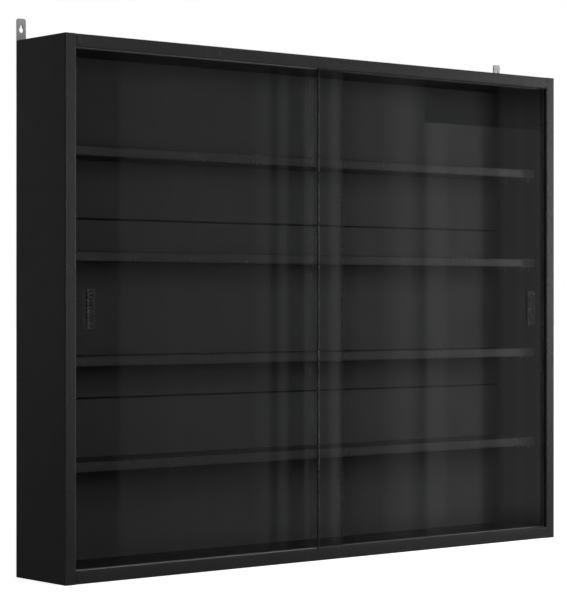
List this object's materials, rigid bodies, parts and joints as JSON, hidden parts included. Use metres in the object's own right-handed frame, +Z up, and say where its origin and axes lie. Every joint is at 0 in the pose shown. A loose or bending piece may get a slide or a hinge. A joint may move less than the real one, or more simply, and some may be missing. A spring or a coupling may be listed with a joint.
{
  "type": "trading card display case",
  "caption": "Shallow wall display case for trading cards with shelves behind two sliding glass doors and keyhole hanging plates.",
  "frame": {"origin": "middle of the bounding box on the bottom face of the case", "axes": "+X to the right along the width seen from the front, +Y from the glass doors to the wall, +Z up"},
  "size_m": [0.8, 0.104, 0.651],
  "materials": {
    "board": "black melamine-coated particleboard, satin",
    "edge_band": "black ABS edge band, satin",
    "back_board": "black-laminated thin fibreboard",
    "hinge_tape": "black polyethylene tape",
    "track": "black extruded PVC",
    "door_glass": "clear float glass, ground edges",
    "pull": "clear smoky moulded plastic",
    "adhesive": "clear acrylic adhesive pad",
    "hanging_plate": "zinc-plated steel strip",
    "screw": "zinc-plated steel",
    "dowel": "plain beech",
    "pin": "nickel-plated steel"
  },
  "bodies": {
    "case": {"left_side_panel": "board", "right_side_panel": "board", "top_panel": "board", "bottom_panel": "board", "shelf_1": "board", "shelf_2": "board", "shelf_3": "board", "shelf_4": "board", "left_edge_band": "edge_band", "right_edge_band": "edge_band", "top_edge_band": "edge_band", "bottom_edge_band": "edge_band", "shelf_1_edge_band": "edge_band", "shelf_2_edge_band": "edge_band", "shelf_3_edge_band": "edge_band", "shelf_4_edge_band": "edge_band", "lower_back_board": "back_board", "middle_back_board": "back_board", "upper_back_board": "back_board", "back_hinge_tapes": "hinge_tape", "top_track": "track", "bottom_track": "track", "left_hanging_plate": "hanging_plate", "right_hanging_plate": "hanging_plate", "hanging_plate_screws": "screw", "wooden_dowels": "dowel", "shelf_pins": "pin"},
    "left_door": {"left_glass_door": "door_glass", "left_finger_pull": "pull", "left_pull_adhesive": "adhesive"},
    "right_door": {"right_glass_door": "door_glass", "right_finger_pull": "pull", "right_pull_adhesive": "adhesive"}
  },
  "joints": [
    {"name": "left_door_slide", "type": "slide", "parent": "case", "child": "left_door", "axis": [1, 0, 0], "range_m": [0, 0.3585]},
    {"name": "right_door_slide", "type": "slide", "parent": "case", "child": "right_door", "axis": [1, 0, 0], "range_m": [-0.3655, 0]}
  ]
}
